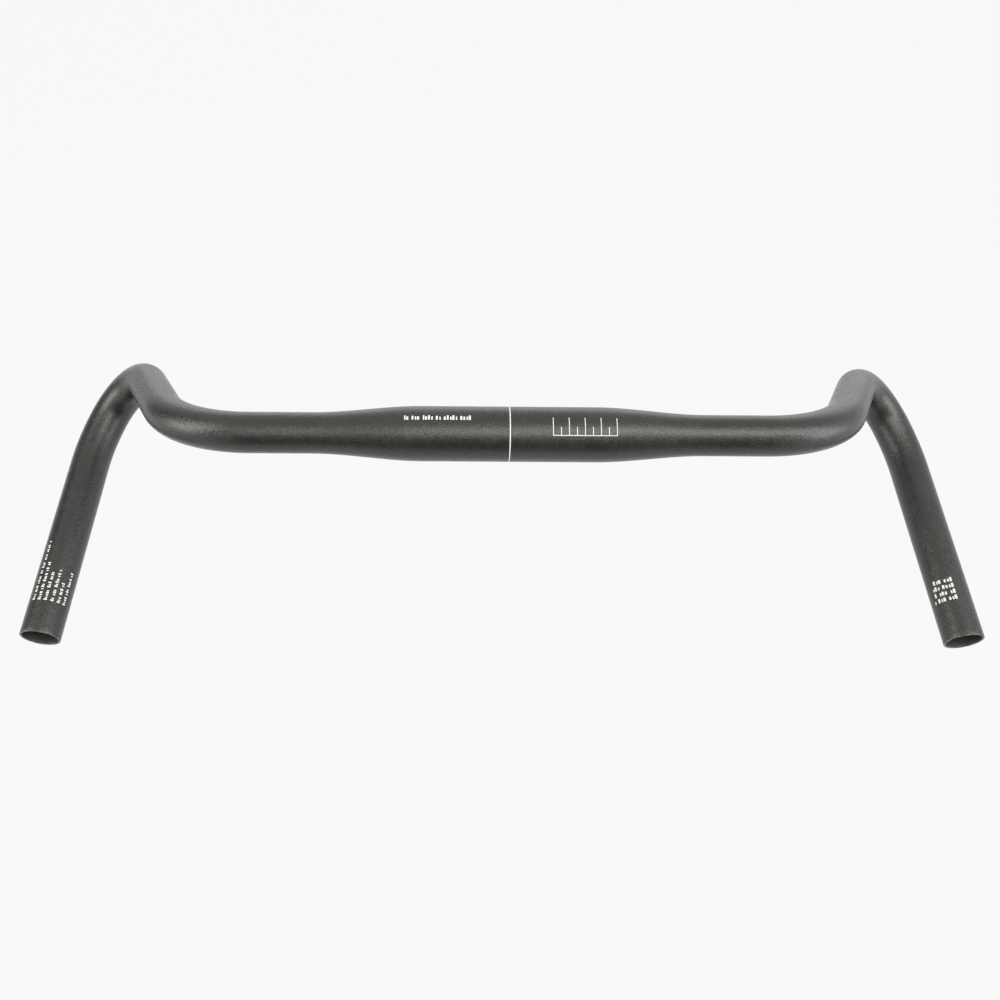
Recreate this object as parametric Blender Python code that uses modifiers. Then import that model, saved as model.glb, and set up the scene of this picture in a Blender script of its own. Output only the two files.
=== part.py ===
"""Drop handlebar for a 31.8 mm stem: one bent aluminium tube and its printed marks.

Metres. The middle of the stem clamp is the origin, +X the rider's right, +Y forwards, +Z up.
The left half mirrors the right. Angles round the tube start at its top and go towards the rider,
and stay with the metal as it is bent.
"""

import math

import bmesh
import bpy
from mathutils import Matrix, Vector

NAME = "drop_handlebar"

# Tube
CLAMP_R = 0.0159
GRIP_R = 0.0119
WALL = 0.0013
EDGE_BREAK = 0.0003
CLAMP_HALF = 0.050
TAPER_END = 0.113
TAPER_STEPS = 8
SIDES = 30

# The right half, in the order the tube is fed and bent.
# A bend is its radius, its angle, and the way it turns in degrees round the tube.
TOP = 0.1494
CORNER = (0.0650, 65.0, 244.0)
RAMP = 0.0480
HOOK = (0.0295, 107.4, 115.2)
LOWER = (0.0735, 27.4, 120.8)
DROP = 0.1207
BEND_STEP = 9.0

# Printed marks: each is a film of ink that stands clear of the metal it is printed on
INK = 0.0001
INK_GAP = 0.0003
FILM_STEP = 3.0
CENTRE_LINE = 0.0009
CAPTION = (0.0220, 0.0590)
CAPTION_TURN = (3.0, 9.0)
CAPTION_COLUMNS = 12

# Centring scale: a base line and ticks towards the front, every other one long
SCALE_FROM = 0.0240
SCALE_LINE = 0.00075
SCALE_SPACES = 5
SCALE_TICKS = 9
SCALE_TURN = (5.0, 44.0)
SCALE_SHORT = 6

# Lines along the left drop: angle round the tube, and length from a common start
LEFT_START = 0.0200
LEFT_TURN = 6.4
LEFT_LINES = (
    (42.0, 0.0410),
    (61.0, 0.0250),
    (79.5, 0.0200),
    (98.0, 0.0215),
    (116.5, 0.0135),
    (135.0, 0.0225),
)

# Lines across the right drop: distance from its end, and the turn each one covers
RIGHT_WIDTH = 0.0014
RIGHT_LINES = (
    (0.0366, 80.0, 148.0),
    (0.0327, 80.0, 150.0),
    (0.0288, 80.0, 146.0),
    (0.0249, 80.0, 152.0),
)


def clear_scene():
    for obj in list(bpy.data.objects):
        bpy.data.objects.remove(obj, do_unlink=True)


def material(name, colour, metallic, roughness):
    made = bpy.data.materials.new(name)
    made.use_nodes = True
    shader = made.node_tree.nodes["Principled BSDF"]
    shader.inputs["Base Color"].default_value = (*colour, 1.0)
    shader.inputs["Metallic"].default_value = metallic
    shader.inputs["Roughness"].default_value = roughness
    made.diffuse_color = (*colour, 1.0)
    return made


def outer_radius(along):
    """Clamp radius in the middle, easing down to the grip radius on either side."""
    t = min(max((abs(along) - CLAMP_HALF) / (TAPER_END - CLAMP_HALF), 0.0), 1.0)
    return CLAMP_R + (GRIP_R - CLAMP_R) * t * t * (3.0 - 2.0 * t)


def grip_radius(_):
    return GRIP_R


class Bender:
    """Feeds and bends the right half, noting (distance along, centre) where the tube needs a ring.

    The frame's columns point along the tube, to its top and to its rider's side.
    """

    def __init__(self):
        self.along = 0.0
        self.centre = Vector((0.0, 0.0, 0.0))
        self.frame = Matrix(((1, 0, 0), (0, 0, -1), (0, 1, 0)))
        self.path = [(0.0, self.centre.copy())]

    def feed(self, length):
        self.along += length
        self.centre = self.centre + self.frame.col[0] * length
        self.path.append((self.along, self.centre.copy()))

    def bend(self, radius, degrees, plane):
        top, side = self.frame.col[1], self.frame.col[2]
        way = top * math.cos(math.radians(plane)) + side * math.sin(math.radians(plane))
        hub = self.centre + way * radius
        axis = self.frame.col[0].cross(way)
        steps = math.ceil(degrees / BEND_STEP)
        turn = Matrix.Rotation(math.radians(degrees / steps), 3, axis)
        for _ in range(steps):
            self.along += radius * math.radians(degrees / steps)
            self.centre = hub + turn @ (self.centre - hub)
            self.frame = turn @ self.frame
            self.path.append((self.along, self.centre.copy()))


def bent_half():
    bender = Bender()
    bender.feed(CLAMP_HALF)
    for _ in range(TAPER_STEPS):
        bender.feed((TAPER_END - CLAMP_HALF) / TAPER_STEPS)
    bender.feed(TOP - TAPER_END)
    bender.bend(*CORNER)
    bender.feed(RAMP)
    bender.bend(*HOOK)
    bender.bend(*LOWER)
    bender.feed(DROP)
    return bender


def tube(path, paint):
    """A curve with a radius at each point, made a wall whose open ends have their edges broken."""
    left = [(along, Vector((-c.x, c.y, c.z))) for along, c in reversed(path[1:])]
    stops = left + path
    curve = bpy.data.curves.new("bar_centreline", "CURVE")
    curve.dimensions = "3D"
    curve.twist_mode = "MINIMUM"
    curve.bevel_depth = GRIP_R
    curve.bevel_resolution = (SIDES - 4) // 2
    spline = curve.splines.new("POLY")
    spline.points.add(len(stops) - 1)
    for point, (along, centre) in zip(spline.points, stops):
        point.co = (*centre, 1.0)
        point.radius = outer_radius(along) / GRIP_R
    guide = bpy.data.objects.new("bar_centreline", curve)
    bpy.data.collections[NAME].objects.link(guide)
    bpy.context.view_layer.update()
    graph = bpy.context.evaluated_depsgraph_get()
    mesh = bpy.data.meshes.new_from_object(guide.evaluated_get(graph))
    bpy.data.objects.remove(guide, do_unlink=True)
    obj = bpy.data.objects.new("bar", mesh)
    bpy.data.collections[NAME].objects.link(obj)
    mesh.materials.clear()
    mesh.materials.append(paint)
    mesh.shade_smooth()
    skin = bmesh.new()
    skin.from_mesh(mesh)
    bmesh.ops.remove_doubles(skin, verts=skin.verts, dist=0.00001)
    skin.to_mesh(mesh)
    skin.free()
    wall = obj.modifiers.new("wall", "SOLIDIFY")
    wall.thickness = WALL
    wall.offset = -1.0
    wall.use_even_offset = True
    ends = obj.modifiers.new("ends", "BEVEL")
    ends.width = EDGE_BREAK
    ends.segments = 1
    ends.limit_method = "ANGLE"
    ends.angle_limit = math.radians(60.0)
    return obj


def film(name, place, hand, span, turn, columns, metal, paint, keep=None):
    """A sheet of ink rolled round the X axis of place, then made solid.

    span is where it lies along that axis and turn the degrees it covers; hand is -1 where the
    turn goes the other way. metal(x) is the radius under it, and keep(column, row) says which
    squares of the sheet are printed.
    """
    rows = math.ceil((turn[1] - turn[0]) / FILM_STEP)
    sheet = bmesh.new()
    bmesh.ops.create_grid(sheet, x_segments=columns, y_segments=rows, size=0.5)
    if keep:
        blank = []
        for face in sheet.faces:
            middle = face.calc_center_median()
            square = (int((middle.x + 0.5) * columns), int((middle.y + 0.5) * rows))
            if not keep(*square):
                blank.append(face)
        bmesh.ops.delete(sheet, geom=blank, context="FACES")
    for vert in sheet.verts:
        x = span[0] + (span[1] - span[0]) * (vert.co.x + 0.5)
        a = math.radians(turn[0] + (turn[1] - turn[0]) * (vert.co.y + 0.5)) * hand
        radius = metal(x) + INK_GAP
        vert.co = (x, -radius * math.sin(a), radius * math.cos(a))
    bmesh.ops.remove_doubles(sheet, verts=sheet.verts, dist=0.000001)
    if hand > 0:
        bmesh.ops.reverse_faces(sheet, faces=sheet.faces)
    mesh = bpy.data.meshes.new(name)
    sheet.to_mesh(mesh)
    sheet.free()
    mesh.materials.append(paint)
    obj = bpy.data.objects.new(name, mesh)
    bpy.data.collections[NAME].objects.link(obj)
    obj.matrix_world = place
    ink = obj.modifiers.new("ink", "SOLIDIFY")
    ink.thickness = INK
    ink.offset = 1.0
    return obj


def scale_keep(column, row):
    """Base line in the rows nearest the rider, and a tick in the first column of each space."""
    tick, within = divmod(column, SCALE_SPACES + 1)
    rows = math.ceil((SCALE_TURN[1] - SCALE_TURN[0]) / FILM_STEP)
    if row == rows - 1:
        return True
    return within == 0 and (tick % 2 == 0 or row >= SCALE_SHORT)


def centre_marks(ink):
    middle = Matrix.Identity(4)
    ring = (-CENTRE_LINE / 2, CENTRE_LINE / 2)
    film("centre_line", middle, 1, ring, (0.0, 360.0), 1, outer_radius, ink)
    caption = (-CAPTION[1], -CAPTION[0])
    film("caption_bar", middle, 1, caption, CAPTION_TURN, CAPTION_COLUMNS, outer_radius, ink)
    columns = (SCALE_TICKS - 1) * (SCALE_SPACES + 1) + 1
    span = (SCALE_FROM, SCALE_FROM + columns * SCALE_LINE)
    film("centring_scale", middle, 1, span, SCALE_TURN, columns, outer_radius, ink, scale_keep)


def drop_marks(bender, ink):
    """Each drop's marks lie along an axis that starts at its end and runs up the tube."""
    back, top, side = -bender.frame.col[0], bender.frame.col[1], bender.frame.col[2]
    right = Matrix((back, side, top)).transposed().to_4x4()
    right.translation = bender.centre
    flip = Matrix.Scale(-1.0, 4, (1.0, 0.0, 0.0))
    left = flip @ right @ Matrix.Scale(-1.0, 4, (0.0, 1.0, 0.0))
    for k, (angle, length) in enumerate(LEFT_LINES, 1):
        span = (LEFT_START, LEFT_START + length)
        turn = (angle - LEFT_TURN / 2, angle + LEFT_TURN / 2)
        film(f"left_line_{k}", left, 1, span, turn, 1, grip_radius, ink)
    for k, (away, first, last) in enumerate(RIGHT_LINES, 1):
        span = (away - RIGHT_WIDTH / 2, away + RIGHT_WIDTH / 2)
        film(f"right_line_{k}", right, -1, span, (first, last), 1, grip_radius, ink)


clear_scene()
bpy.context.scene.collection.children.link(bpy.data.collections.new(NAME))
bar = bent_half()
tube(bar.path, material("black_anodised", (0.035, 0.034, 0.033), 1.0, 0.42))
white = material("white_ink", (0.80, 0.80, 0.78), 0.0, 0.55)
centre_marks(white)
drop_marks(bar, white)
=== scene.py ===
"""Looks of the drop handlebar: the bent tube at full smoothness, its prints, light and camera.

Metres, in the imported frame: the middle of the stem clamp is the origin, +X the rider's right,
+Y forwards, +Z up. Angles round the tube start at its top and go towards the rider, and stay
with the metal as it is bent. The left half mirrors the right.
"""

import math

import bmesh
import bpy
from mathutils import Matrix, Vector


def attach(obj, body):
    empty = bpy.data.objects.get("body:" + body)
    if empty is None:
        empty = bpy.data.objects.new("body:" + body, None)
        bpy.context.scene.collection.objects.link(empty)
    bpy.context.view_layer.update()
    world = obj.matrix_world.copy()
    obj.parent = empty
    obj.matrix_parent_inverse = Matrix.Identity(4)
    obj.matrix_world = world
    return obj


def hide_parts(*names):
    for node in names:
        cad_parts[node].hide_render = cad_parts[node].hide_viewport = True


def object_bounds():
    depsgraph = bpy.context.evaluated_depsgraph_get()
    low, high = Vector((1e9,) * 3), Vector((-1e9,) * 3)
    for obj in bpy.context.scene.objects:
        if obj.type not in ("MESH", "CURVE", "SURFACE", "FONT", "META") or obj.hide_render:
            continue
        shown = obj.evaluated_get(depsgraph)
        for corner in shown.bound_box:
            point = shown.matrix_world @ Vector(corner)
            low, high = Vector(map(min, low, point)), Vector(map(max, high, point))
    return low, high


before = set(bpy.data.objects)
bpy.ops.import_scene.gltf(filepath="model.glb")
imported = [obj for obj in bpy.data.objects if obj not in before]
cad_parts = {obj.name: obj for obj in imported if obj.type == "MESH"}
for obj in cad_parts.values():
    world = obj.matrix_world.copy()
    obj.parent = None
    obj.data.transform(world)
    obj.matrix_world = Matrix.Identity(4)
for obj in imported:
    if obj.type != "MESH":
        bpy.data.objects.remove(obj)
cad_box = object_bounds()

# Tube, as in the CAD
CLAMP_R = 0.0159
GRIP_R = 0.0119
WALL = 0.0013
CLAMP_HALF = 0.050
TAPER_END = 0.113
TOP = 0.1494
CORNER = (0.0650, 65.0, 244.0)
RAMP = 0.0480
HOOK = (0.0295, 107.4, 115.2)
LOWER = (0.0735, 27.4, 120.8)
DROP = 0.1207

# How finely it is made
SIDES = 96
FEED_STEP = 0.003
BEND_STEP = 3.0
EDGE = 0.0003
EDGE_STEPS = 3

# Ink lies on the metal, let in a little so that no gap shows
INK_OUT = 0.00004
INK_IN = 0.00004
INK_MERGE = 0.000001
INK_TURN_STEP = 3.0
INK_FEED_STEP = 0.002

# Prints on the tops
CENTRE_LINE = 0.0006
CAPTION = (0.0222, 0.0610)
CAPTION_TURN = (1.0, 12.0)
CAPTION_PITCH = 0.0016
CAPTION_WORDS = (4, 5, 2, 4, 3)
SCALE_FROM = 0.0240
SCALE_STEP = 0.0045
SCALE_TICKS = 9
SCALE_LINE = 0.0004
SCALE_TURN = (5.0, 44.0)
SCALE_REACH = (1.0, 0.45)

# Prints on the drops: angle round the tube and length on the left, distance from the end
# and the turn each one covers on the right
LEFT_START = 0.0200
LEFT_TURN = 9.0
LEFT_PITCH = 0.0014
LEFT_LINES = (
    (42.0, 0.0410),
    (61.0, 0.0250),
    (79.5, 0.0200),
    (98.0, 0.0215),
    (116.5, 0.0135),
    (135.0, 0.0225),
)
RIGHT_TALL = 0.0027
RIGHT_PITCH = 8.5
RIGHT_LINES = (
    (0.0366, 80.0, 148.0),
    (0.0327, 80.0, 150.0),
    (0.0288, 80.0, 146.0),
    (0.0249, 80.0, 152.0),
)

# Skin. A noise is how many features fit in a metre, detail, and the roughness of the detail.
# Edges are where a patch of it starts and where it is full. A bump is its depth and strength.
CLOUDS = (38.0, 3.0, 0.5)
CLOUD_EDGES = (0.30, 0.70)
MOTTLES = (260.0, 3.0, 0.6)
MOTTLE_EDGES = (0.35, 0.65)
MOTTLE_BUMP = (0.00005, 1.0)
GRAINS = (1300.0, 2.0, 0.6)
GRAIN_BUMP = (0.00024, 0.8)
PITS = (3000.0, 1.0, 0.5)
PIT_BUMP = (0.00006, 0.7)
FLECKS = (1600.0, 1.0, 0.5)
FLECK_EDGES = (0.60, 0.72)

# Tints and gloss of the skin
SKIN_DARK = (0.0125, 0.0116, 0.0103)
SKIN_PALE = (0.0170, 0.0158, 0.0141)
MOTTLE_TINT = (0.0210, 0.0194, 0.0171)
MOTTLE_SHARE = 0.4
FLECK_TINT = (0.095, 0.092, 0.087)
SKIN_ROUGH = (0.225, 0.265)
SKIN_ROUGH_SPREAD = 0.04
SKIN_IOR = 1.52
SKIN_SPECULAR = (1.0, 0.975, 0.955, 1.0)

# Cut ends: turning marks, a noise stretched round them, and where they are rubbed pale
TURNED_SCALE = (9000.0, 4.0, 1.0)
TURNED = (1.0, 2.0, 0.5)
TURNED_BUMP = (0.00003, 0.5)
RUBS = (700.0, 3.0, 0.5)
RUB_EDGES = (0.48, 0.66)
RUB_SHARE = 0.8
CUT_DARK = (0.040, 0.039, 0.038)
CUT_RUBBED = (0.26, 0.255, 0.25)
CUT_METAL = 0.3
CUT_ROUGH = (0.26, 0.42)

# Bore: lines drawn along it, a noise stretched that way
DRAWN_SCALE = (14.0, 150.0, 1.0)
DRAWN = (1.0, 4.0, 0.6)
DRAWN_BUMP = (0.00006, 0.6)
BORE_DARK = (0.020, 0.018, 0.015)
BORE_PALE = (0.046, 0.041, 0.034)
BORE_ROUGH = (0.38, 0.60)

# Ink: patches where it is thin, and the metal's grain showing through
INK_PATCHES = (900.0, 2.0, 0.5)
INK_EDGES = (0.35, 0.70)
INK_GRAINS = (3800.0, 1.0, 0.5)
INK_BUMP = (0.00003, 0.5)
INK_WHITE = (0.66, 0.655, 0.64)
INK_THIN = (0.50, 0.495, 0.48)
INK_ROUGH = (0.42, 0.58)

# Blocks that stand in for small print
BLOCK_WIDTHS = (0.72, 0.50, 0.64, 0.76, 0.46)
BLOCK_HEIGHTS = (1.0, 0.7, 0.7, 0.85, 0.7, 1.0, 0.7)
WORD_GAP = 0.8

# Stage
CAMERA_PLACE = (-0.0294, -0.4004, 0.4469)
CAMERA_TURN = (38.367, -0.928, -0.297)
CAMERA_LENS = 37.443
CAMERA_SENSOR = 36.0
CAMERA_SHIFT = (0.02585, -0.0025)
CAMERA_NEAR = 0.01
FLOOR_HALF = 40.0
FLOOR_BELOW = 0.30
FLOOR_GREY = 0.02
FLOOR_GLOW = 0.91
ROOM = 0.93

# Cards: two opposite corners of each upright sheet, and its grey
BACK_CARD = ((-0.62, -0.90, -0.40), (0.62, -0.90, 0.46), 0.01)
SIDE_CARD = ((-1.20, 0.15, -0.25), (-1.20, 0.82, 0.80), 0.15)

# Softboxes: place, width and height, radiance, and colour
OVERHEAD = ((0.47, -0.72, 1.50), (1.8, 0.72), 4.9, (1.0, 1.0, 0.98))
LEFT_BOX = ((-1.40, -0.32, 0.62), (0.60, 1.45), 5.4, (1.0, 1.0, 0.98))
RIGHT_BOX = ((1.42, -0.40, 0.54), (0.76, 1.35), 4.4, (1.0, 1.0, 1.0))
FRONT_BOX = ((0.20, 1.90, 0.10), (3.2, 1.00), 1.0, (1.0, 0.95, 0.93))

# Faces of the tube, in the order of its materials
SKIN, CUT, BORE = range(3)


def outer_radius(along):
    """Clamp radius in the middle, easing down to the grip radius on either side."""
    t = min(max((abs(along) - CLAMP_HALF) / (TAPER_END - CLAMP_HALF), 0.0), 1.0)
    return CLAMP_R + (GRIP_R - CLAMP_R) * t * t * (3.0 - 2.0 * t)


def grip_radius(_):
    return GRIP_R


class Station:
    """A place on the tube: distance from the middle, centre, and ways to its top and near side."""

    def __init__(self, along, centre, top, side):
        self.along = along
        self.centre = centre.copy()
        self.top = top.copy()
        self.side = side.copy()

    def mirrored(self):
        flip = Vector((-1.0, 1.0, 1.0))
        return Station(-self.along, self.centre * flip, self.top * flip, self.side * flip)

    def at(self, radius, angle):
        return self.centre + (self.top * math.cos(angle) + self.side * math.sin(angle)) * radius


class Bender:
    """Feeds and bends the right half. The frame's columns are along, top and rider's side."""

    def __init__(self):
        self.along = 0.0
        self.centre = Vector((0.0, 0.0, 0.0))
        self.frame = Matrix(((1, 0, 0), (0, 0, -1), (0, 1, 0)))
        self.stations = []
        self.note()

    def note(self):
        self.stations.append(Station(self.along, self.centre, self.frame.col[1], self.frame.col[2]))

    def feed(self, length, step=FEED_STEP):
        count = math.ceil(length / step)
        for _ in range(count):
            self.along += length / count
            self.centre = self.centre + self.frame.col[0] * (length / count)
            self.note()

    def bend(self, radius, degrees, plane):
        top, side = self.frame.col[1], self.frame.col[2]
        way = top * math.cos(math.radians(plane)) + side * math.sin(math.radians(plane))
        hub = self.centre + way * radius
        count = math.ceil(degrees / BEND_STEP)
        turn = Matrix.Rotation(math.radians(degrees / count), 3, self.frame.col[0].cross(way))
        for _ in range(count):
            self.along += radius * math.radians(degrees / count)
            self.centre = hub + turn @ (self.centre - hub)
            self.frame = turn @ self.frame
            self.note()


def bent_half():
    bender = Bender()
    bender.feed(TOP)
    bender.bend(*CORNER)
    bender.feed(RAMP)
    bender.bend(*HOOK)
    bender.bend(*LOWER)
    bender.feed(DROP)
    return bender


# ---------------------------------------------------------------- materials


class Shader:
    """A material's node tree with short calls for the few kinds of node used here."""

    def __init__(self, name):
        self.material = bpy.data.materials.new(name)
        self.material.use_nodes = True
        self.tree = self.material.node_tree
        self.surface = self.tree.nodes["Principled BSDF"]

    def node(self, kind, settings=None, **inputs):
        made = self.tree.nodes.new(kind)
        for key, value in (settings or {}).items():
            setattr(made, key, value)
        for key, value in inputs.items():
            self.put(made, key.replace("_", " "), value)
        return made

    def put(self, node, key, value):
        if isinstance(value, bpy.types.NodeSocket):
            self.tree.links.new(value, node.inputs[key])
        else:
            node.inputs[key].default_value = value

    def set(self, **inputs):
        for key, value in inputs.items():
            self.put(self.surface, key.replace("_", " "), value)

    def place(self):
        return self.node("ShaderNodeTexCoord").outputs["Object"]

    def unrolled(self, scale):
        """Length along the tube and turn round it, stretched by scale."""
        uv = self.node("ShaderNodeUVMap", {"uv_map": "tube"}).outputs["UV"]
        return self.node("ShaderNodeMapping", Vector=uv, Scale=scale).outputs["Vector"]

    def noise(self, where, kind):
        scale, detail, rough = kind
        return self.node("ShaderNodeTexNoise", Vector=where, Scale=scale, Detail=detail,
                         Roughness=rough).outputs["Fac"]

    def scaled(self, low, high, fac, edges=(0.0, 1.0)):
        """Low where fac is at the first edge or under it, high from the second edge on."""
        made = self.node("ShaderNodeMapRange", From_Min=edges[0], From_Max=edges[1],
                         To_Min=low, To_Max=high, Value=fac)
        return made.outputs["Result"]

    def plus(self, one, two):
        made = self.node("ShaderNodeMath", {"operation": "ADD"})
        self.tree.links.new(one, made.inputs[0])
        self.tree.links.new(two, made.inputs[1])
        return made.outputs[0]

    def mix(self, fac, one, two):
        """The Mix node has sockets for every type: for colour, 0, 6 and 7 go in, 2 comes out."""
        made = self.tree.nodes.new("ShaderNodeMix")
        made.data_type = "RGBA"
        for index, value in ((0, fac), (6, one), (7, two)):
            if isinstance(value, bpy.types.NodeSocket):
                self.tree.links.new(value, made.inputs[index])
            else:
                made.inputs[index].default_value = value if index == 0 else (*value, 1.0)
        return made.outputs[2]

    def bump(self, height, kind, under=None):
        depth, strength = kind
        made = self.node("ShaderNodeBump", Height=height, Distance=depth, Strength=strength)
        if under:
            self.tree.links.new(under, made.inputs["Normal"])
        return made.outputs["Normal"]


def anodised():
    """Bead-blasted black anodising: pits that glint, over cloudy patches of dyeing and handling."""
    s = Shader("black_anodised")
    where = s.place()
    cloud = s.scaled(0.0, 1.0, s.noise(where, CLOUDS), CLOUD_EDGES)
    mottle = s.scaled(0.0, 1.0, s.noise(where, MOTTLES), MOTTLE_EDGES)
    grain = s.noise(where, GRAINS)
    pits = s.noise(where, PITS)
    fleck = s.scaled(0.0, 1.0, s.noise(where, FLECKS), FLECK_EDGES)
    tint = s.mix(cloud, SKIN_DARK, SKIN_PALE)
    tint = s.mix(s.scaled(0.0, MOTTLE_SHARE, mottle), tint, MOTTLE_TINT)
    tint = s.mix(fleck, tint, FLECK_TINT)
    rough = s.plus(s.scaled(*SKIN_ROUGH, cloud),
                   s.scaled(-SKIN_ROUGH_SPREAD, SKIN_ROUGH_SPREAD, mottle))
    bumps = s.bump(grain, GRAIN_BUMP, s.bump(mottle, MOTTLE_BUMP))
    s.set(Base_Color=tint, Metallic=fleck, Roughness=rough, IOR=SKIN_IOR,
          Specular_Tint=SKIN_SPECULAR, Normal=s.bump(pits, PIT_BUMP, bumps))
    return s.material


def cut_metal():
    """The faced end, anodised with the rest: smoother than the skin, rubbed pale here and there."""
    s = Shader("anodised_cut")
    turned = s.noise(s.unrolled(TURNED_SCALE), TURNED)
    rubbed = s.scaled(0.0, RUB_SHARE, s.noise(s.place(), RUBS), RUB_EDGES)
    s.set(Base_Color=s.mix(rubbed, CUT_DARK, CUT_RUBBED), Metallic=CUT_METAL,
          Roughness=s.scaled(*CUT_ROUGH, turned), Normal=s.bump(turned, TURNED_BUMP))
    return s.material


def bore_metal():
    """Inside the tube: dark, drawn lengthwise, not blasted."""
    s = Shader("anodised_bore")
    drawn = s.noise(s.unrolled(DRAWN_SCALE), DRAWN)
    s.set(Base_Color=s.mix(drawn, BORE_DARK, BORE_PALE), Metallic=0.0,
          Roughness=s.scaled(*BORE_ROUGH, drawn), Normal=s.bump(drawn, DRAWN_BUMP))
    return s.material


def printed_ink():
    """White pad-printed ink, a little uneven over the blasted metal."""
    s = Shader("white_ink")
    where = s.place()
    patch = s.noise(where, INK_PATCHES)
    tint = s.mix(s.scaled(0.0, 1.0, patch, INK_EDGES), INK_WHITE, INK_THIN)
    s.set(Base_Color=tint, Metallic=0.0, Roughness=s.scaled(*INK_ROUGH, patch),
          Normal=s.bump(s.noise(where, INK_GRAINS), INK_BUMP))
    return s.material


# ---------------------------------------------------------------- tube


def end_profile():
    """(distance back from the end, radius) from the outer skin round the cut face to the bore."""
    inner = GRIP_R - WALL
    points = []
    for k in range(EDGE_STEPS + 1):
        a = math.radians(90.0 * k / EDGE_STEPS)
        points.append((EDGE * (1.0 - math.sin(a)), GRIP_R - EDGE * (1.0 - math.cos(a))))
    for k in range(EDGE_STEPS + 1):
        a = math.radians(90.0 * k / EDGE_STEPS)
        points.append((EDGE * (1.0 - math.cos(a)), inner + EDGE * (1.0 - math.sin(a))))
    return points


def tube(bender, paints):
    """Skin from left to right, the right cut face, the bore back to the left, the left cut face."""
    half = bender.stations
    stations = [s.mirrored() for s in reversed(half[1:])] + half
    first, last, body = stations[0], stations[-1], stations[1:-1]
    rows = [(s, 0.0, outer_radius(s.along), SKIN) for s in body]
    rows += [(last, -back, radius, CUT) for back, radius in end_profile()]
    rows += [(s, 0.0, outer_radius(s.along) - WALL, BORE) for s in reversed(body)]
    rows += [(first, back, radius, CUT) for back, radius in reversed(end_profile())]

    work = bmesh.new()
    uv = work.loops.layers.uv.new("tube")
    rings, lengths = [], [0.0]
    for station, shift, radius, _ in rows:
        ahead = station.top.cross(station.side) * shift
        angles = (2.0 * math.pi * k / SIDES for k in range(SIDES))
        rings.append([work.verts.new(station.at(radius, a) + ahead) for a in angles])
    for i, ring in enumerate(rings):
        after = rings[(i + 1) % len(rings)]
        lengths.append(lengths[-1] + (after[0].co - ring[0].co).length)
        kinds = (rows[i][3], rows[(i + 1) % len(rows)][3])
        for k in range(SIDES):
            n = (k + 1) % SIDES
            face = work.faces.new((ring[k], ring[n], after[n], after[k]))
            face.smooth = True
            # A strip that joins a cut face to a wall belongs to the wall
            face.material_index = kinds[0] if kinds[1] == CUT else kinds[1]
            turns = (k, k + 1, k + 1, k)
            for loop, length, turn in zip(face.loops, (i, i, i + 1, i + 1), turns):
                loop[uv].uv = (lengths[length], turn / SIDES)
    mesh = bpy.data.meshes.new("bar_tube")
    work.to_mesh(mesh)
    work.free()
    for paint in paints:
        mesh.materials.append(paint)
    return show("bar_tube", mesh, "bar")


def show(name, mesh, node):
    """Puts a mesh in the scene in place of a CAD node."""
    made = bpy.data.objects.new(name, mesh)
    bpy.context.scene.collection.objects.link(made)
    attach(made, "root")
    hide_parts(node)
    return made


# ---------------------------------------------------------------- prints


def film(name, node, place, hand, metal, cells, paint):
    """Patches of ink rolled round the X axis of place.

    A cell is (from, to) along that axis and (from, to) in degrees round it; hand is -1 where the
    turn goes the other way. metal(x) is the radius under it.
    """
    work = bmesh.new()
    for low, high, start, stop in cells:
        columns = math.ceil((high - low) / INK_FEED_STEP)
        rows = math.ceil((stop - start) / INK_TURN_STEP)
        made = bmesh.ops.create_grid(work, x_segments=columns, y_segments=rows, size=0.5)
        for vert in made["verts"]:
            x = low + (high - low) * (vert.co.x + 0.5)
            a = math.radians(start + (stop - start) * (vert.co.y + 0.5)) * hand
            radius = metal(x) - INK_IN
            vert.co = (x, -radius * math.sin(a), radius * math.cos(a))
    bmesh.ops.remove_doubles(work, verts=work.verts, dist=INK_MERGE)
    if hand > 0:
        bmesh.ops.reverse_faces(work, faces=work.faces)
    mesh = bpy.data.meshes.new(name)
    work.to_mesh(mesh)
    work.free()
    mesh.transform(place)
    mesh.materials.append(paint)
    made = show(name, mesh, node)
    ink = made.modifiers.new("ink", "SOLIDIFY")
    ink.thickness = INK_IN + INK_OUT
    ink.offset = 1.0
    return made


def blocks(start, stop, pitch, words):
    """Upright blocks, (from, to, height) each, in groups that stand in for words of small print.

    words holds how many blocks each word has, and starts again when it runs out.
    """
    found, x, k = [], start, 0
    while True:
        for _ in range(words[k % len(words)]):
            width = pitch * BLOCK_WIDTHS[len(found) % len(BLOCK_WIDTHS)]
            if x + width > stop:
                return found
            found.append((x, x + width, BLOCK_HEIGHTS[len(found) % len(BLOCK_HEIGHTS)]))
            x += pitch
        x += pitch * WORD_GAP
        k += 1


def centre_marks(ink):
    middle = Matrix.Identity(4)
    ring = [(-CENTRE_LINE / 2, CENTRE_LINE / 2, 0.0, 360.0)]
    film("centre_ring", "centre_line", middle, 1, outer_radius, ring, ink)

    low, high = CAPTION_TURN
    caption = [(-b, -a, low + (high - low) * (1.0 - tall), high)
               for a, b, tall in blocks(*CAPTION, CAPTION_PITCH, CAPTION_WORDS)]
    film("caption_blocks", "caption_bar", middle, 1, outer_radius, caption, ink)

    top, foot = SCALE_TURN
    end = SCALE_FROM + SCALE_STEP * (SCALE_TICKS - 1) + SCALE_LINE
    base = foot - math.degrees(SCALE_LINE / CLAMP_R)
    scale = [(SCALE_FROM, end, base, foot)]
    for k in range(SCALE_TICKS):
        x = SCALE_FROM + SCALE_STEP * k
        reach = SCALE_REACH[k % len(SCALE_REACH)]
        scale.append((x, x + SCALE_LINE, base - (base - top) * reach, base))
    film("centring_ticks", "centring_scale", middle, 1, outer_radius, scale, ink)


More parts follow.
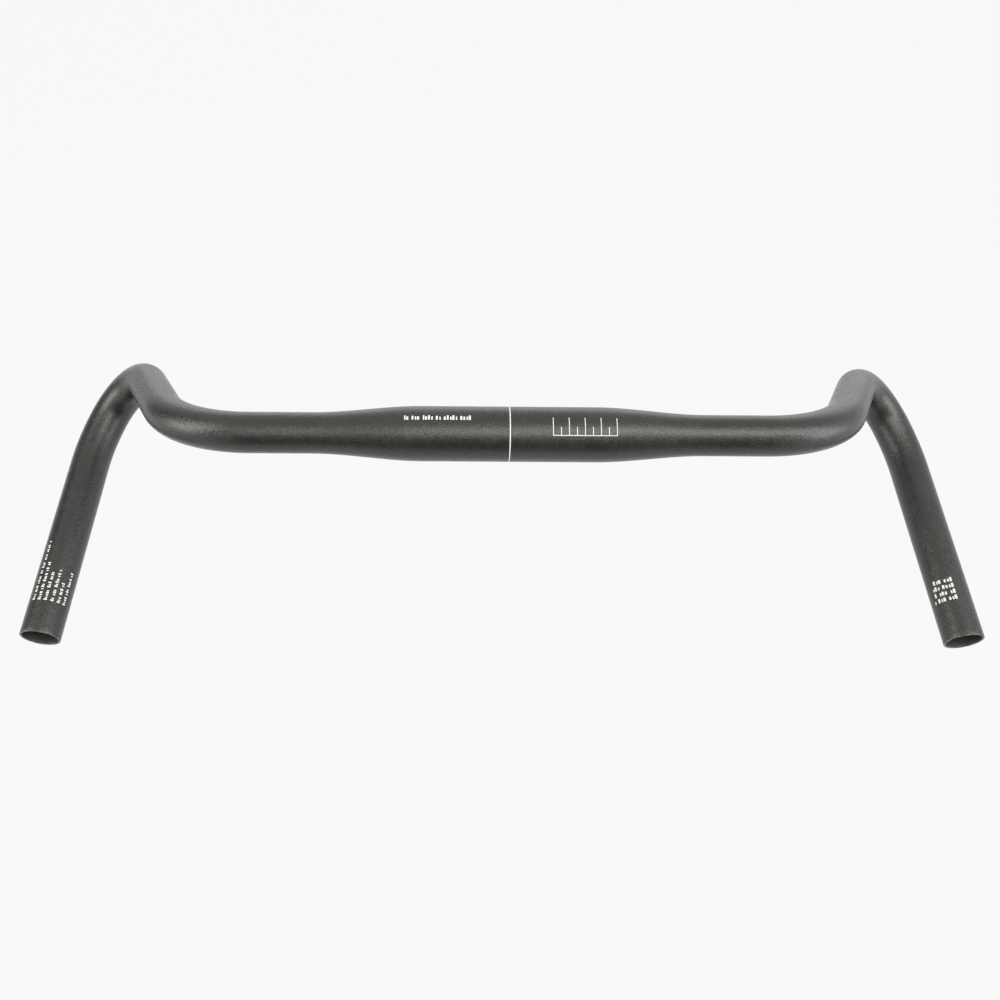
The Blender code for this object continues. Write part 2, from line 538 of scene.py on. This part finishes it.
def drop_marks(bender, ink):
    """Each drop's marks lie along an axis that starts at its end and runs up the tube."""
    end = bender.stations[-1]
    back = end.side.cross(end.top)
    right = Matrix((back, end.side, end.top)).transposed().to_4x4()
    right.translation = end.centre
    flip = Matrix.Scale(-1.0, 4, (1.0, 0.0, 0.0))
    left = flip @ right @ Matrix.Scale(-1.0, 4, (0.0, 1.0, 0.0))
    # Words are two to five blocks long, and which comes first differs from line to line
    for k, (angle, length) in enumerate(LEFT_LINES, 1):
        line = blocks(LEFT_START, LEFT_START + length, LEFT_PITCH, (2 + k % 4, 3, 4, 2))
        low, high = angle - LEFT_TURN / 2, angle + LEFT_TURN / 2
        cells = [(a, b, high - (high - low) * tall, high) for a, b, tall in line]
        film(f"left_print_{k}", f"left_line_{k}", left, 1, grip_radius, cells, ink)
    for k, (away, first, stop) in enumerate(RIGHT_LINES, 1):
        line = blocks(first, stop, RIGHT_PITCH, (2 + k % 3, 3, 2 + k % 2))
        low, high = away - RIGHT_TALL / 2, away + RIGHT_TALL / 2
        cells = [(low, low + (high - low) * tall, a, b) for a, b, tall in line]
        film(f"right_print_{k}", f"right_line_{k}", right, -1, grip_radius, cells, ink)


# ---------------------------------------------------------------- stage


def matt(name, grey, glow=0.0):
    """A grey without gloss for the stage, which may give off white light."""
    shader = Shader(name)
    shader.set(Base_Color=(grey, grey, grey, 1.0), Roughness=1.0, Specular_IOR_Level=0.0,
               Emission_Color=(1.0, 1.0, 1.0, 1.0), Emission_Strength=glow)
    return shader.material


def floor():
    """A light table: pale, even, and without a shadow."""
    work = bmesh.new()
    bmesh.ops.create_grid(work, x_segments=1, y_segments=1, size=FLOOR_HALF)
    mesh = bpy.data.meshes.new("floor")
    work.to_mesh(mesh)
    work.free()
    mesh.materials.append(matt("floor_sheet", FLOOR_GREY, FLOOR_GLOW))
    made = bpy.data.objects.new("floor", mesh)
    made.location.z = cad_box[0][2] - FLOOR_BELOW
    bpy.context.scene.collection.objects.link(made)


def softbox(name, place, size, radiance, colour):
    """A rectangular light at place that faces the clamp and isn't in the picture itself."""
    light = bpy.data.lights.new(name, "AREA")
    light.shape = "RECTANGLE"
    light.size, light.size_y = size
    light.energy = radiance * math.pi * size[0] * size[1]
    light.color = colour
    made = bpy.data.objects.new(name, light)
    made.location = place
    made.rotation_euler = (-Vector(place)).to_track_quat("-Z", "Y").to_euler()
    made.visible_camera = False
    bpy.context.scene.collection.objects.link(made)


def surroundings():
    """Even pale light from the whole room."""
    world = bpy.data.worlds.new("studio")
    bpy.context.scene.world = world
    world.use_nodes = True
    back = world.node_tree.nodes["Background"]
    back.inputs["Color"].default_value = (1.0, 1.0, 1.0, 1.0)
    back.inputs["Strength"].default_value = ROOM


def card(name, low, high, grey):
    """An upright dark card, seen only in reflections, that keeps the room off the metal."""
    mesh = bpy.data.meshes.new(name)
    corners = ((low[0], low[1], low[2]), (high[0], high[1], low[2]),
               (high[0], high[1], high[2]), (low[0], low[1], high[2]))
    mesh.from_pydata(corners, [], [(0, 1, 2, 3)])
    mesh.materials.append(matt(name, grey))
    made = bpy.data.objects.new(name, mesh)
    bpy.context.scene.collection.objects.link(made)
    made.visible_camera = made.visible_diffuse = made.visible_shadow = False


def camera():
    lens = bpy.data.cameras.new("camera")
    lens.lens = CAMERA_LENS
    lens.sensor_width = CAMERA_SENSOR
    lens.shift_x, lens.shift_y = CAMERA_SHIFT
    lens.clip_start = CAMERA_NEAR
    made = bpy.data.objects.new("camera", lens)
    made.location = CAMERA_PLACE
    made.rotation_euler = [math.radians(a) for a in CAMERA_TURN]
    bpy.context.scene.collection.objects.link(made)
    bpy.context.scene.camera = made


bar = bent_half()
tube(bar, (anodised(), cut_metal(), bore_metal()))
white = printed_ink()
centre_marks(white)
drop_marks(bar, white)

camera()
floor()
surroundings()
card("back_card", *BACK_CARD)
card("side_card", *SIDE_CARD)
softbox("overhead", *OVERHEAD)
softbox("left_box", *LEFT_BOX)
softbox("right_box", *RIGHT_BOX)
softbox("front_box", *FRONT_BOX)
bpy.context.scene.view_settings.view_transform = "Standard"
